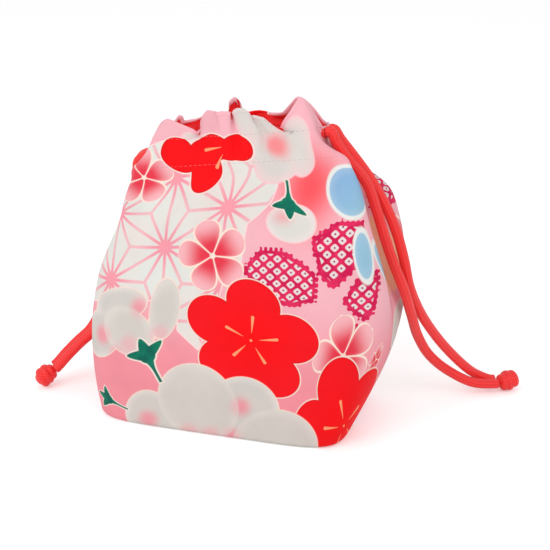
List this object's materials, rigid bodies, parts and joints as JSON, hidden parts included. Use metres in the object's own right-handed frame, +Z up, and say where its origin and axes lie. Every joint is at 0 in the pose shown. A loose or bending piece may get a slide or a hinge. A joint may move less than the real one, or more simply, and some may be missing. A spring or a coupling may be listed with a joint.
{
  "type": "drawstring bag",
  "caption": "Lined cloth pouch with a boxed base, gathered mouth, cord channel and two knotted drawcords leaving at the sides.",
  "frame": {"origin": "middle of the bag's box on the ground, free cord ends left out", "axes": "+X to the right seen from the front, -Y out of the front, +Z up through the mouth"},
  "size_m": [0.2937, 0.1229, 0.1945],
  "materials": {
    "printed_cloth": "printed satin-weave cotton",
    "lining_cloth": "plain red lining cloth",
    "cord": "soft knitted red cord",
    "thread": "matt sewing thread"
  },
  "bodies": {
    "bag": {"outer_front": "printed_cloth", "outer_back": "printed_cloth", "outer_base": "printed_cloth", "lining_front": "lining_cloth", "lining_back": "lining_cloth", "lining_base": "lining_cloth", "hem_front": "printed_cloth", "hem_back": "printed_cloth", "stitches_front_low": "thread", "stitches_back_low": "thread", "stitches_front_high": "thread", "stitches_back_high": "thread", "cord_right_loop": "cord", "cord_left_loop": "cord", "cord_right_front": "cord", "cord_right_back": "cord", "cord_left_front": "cord", "cord_left_back": "cord"},
    "right_knot": {"knot_right": "cord"},
    "left_knot": {"knot_left": "cord"}
  },
  "joints": [
    {"name": "right_cord_pull", "type": "slide", "parent": "bag", "child": "right_knot", "axis": [0.8829, 0.4695, 0], "range_m": [0, 0.05]},
    {"name": "left_cord_pull", "type": "slide", "parent": "bag", "child": "left_knot", "axis": [-0.829, -0.5592, 0], "range_m": [0, 0.05]}
  ]
}
